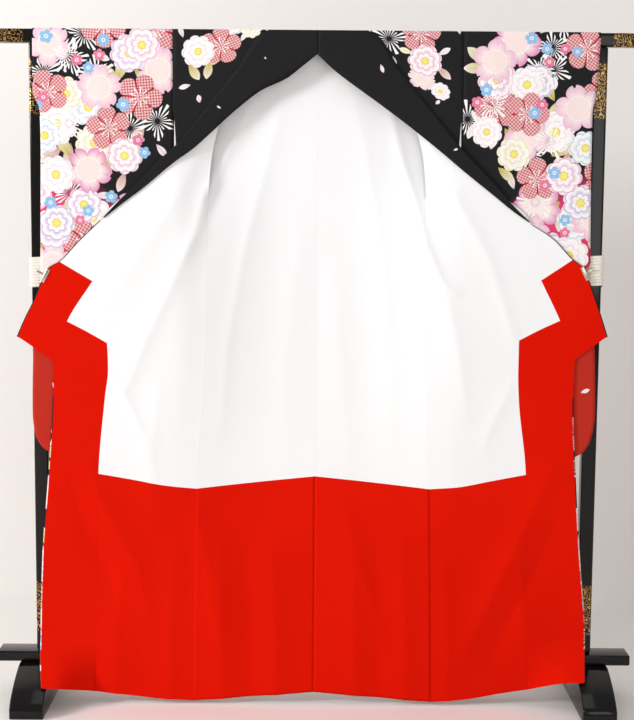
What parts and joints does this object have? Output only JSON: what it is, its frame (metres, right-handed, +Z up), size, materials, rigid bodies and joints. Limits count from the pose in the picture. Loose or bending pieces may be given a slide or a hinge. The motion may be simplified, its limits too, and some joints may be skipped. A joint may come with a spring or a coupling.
{
  "type": "furisode kimono on a kimono stand",
  "caption": "Long-sleeved silk kimono hung open over the rod of a black lacquered stand, its fronts clipped out to the posts so that the white and red lining shows.",
  "frame": {"origin": "on the floor, midway between the two feet and under the middle of the rod", "axes": "+Z up, +X to the right as seen from the front, the opened front faces -Y"},
  "size_m": [1.572, 0.336, 1.6453],
  "materials": {
    "printed_crepe": "matt black silk crepe with a dense flower print",
    "white_lining": "smooth white lining silk",
    "red_crepe": "red silk crepe",
    "black_lacquer": "polished black lacquer with gold scroll ornament",
    "cotton_cord": "cream cotton cord, wound close",
    "clip_steel": "bright plated spring steel"
  },
  "bodies": {
    "root": {"rod": "black_lacquer", "rail": "black_lacquer", "post_left": "black_lacquer", "foot_left": "black_lacquer", "binding_left": "cotton_cord", "clip_left": "clip_steel", "back_left": "printed_crepe", "front_left": "printed_crepe", "okumi_left": "printed_crepe", "collar_end_left": "printed_crepe", "front_shoulder_left": "printed_crepe", "collar_left": "printed_crepe", "sleeve_front_left": "printed_crepe", "sleeve_back_left": "printed_crepe", "back_lining_left": "white_lining", "front_lining_left": "white_lining", "okumi_lining_left": "white_lining", "collar_lining_left": "white_lining", "back_hem_lining_left": "red_crepe", "front_hem_lining_left": "red_crepe", "okumi_hem_lining_left": "red_crepe", "collar_end_lining_left": "red_crepe", "cuff_edge_left": "red_crepe", "post_right": "black_lacquer", "foot_right": "black_lacquer", "binding_right": "cotton_cord", "clip_right": "clip_steel", "back_right": "printed_crepe", "front_right": "printed_crepe", "okumi_right": "printed_crepe", "collar_end_right": "printed_crepe", "front_shoulder_right": "printed_crepe", "collar_right": "printed_crepe", "sleeve_front_right": "printed_crepe", "sleeve_back_right": "printed_crepe", "back_lining_right": "white_lining", "front_lining_right": "white_lining", "okumi_lining_right": "white_lining", "collar_lining_right": "white_lining", "back_hem_lining_right": "red_crepe", "front_hem_lining_right": "red_crepe", "okumi_hem_lining_right": "red_crepe", "collar_end_lining_right": "red_crepe", "cuff_edge_right": "red_crepe", "collar_nape": "printed_crepe"}
  },
  "joints": []
}
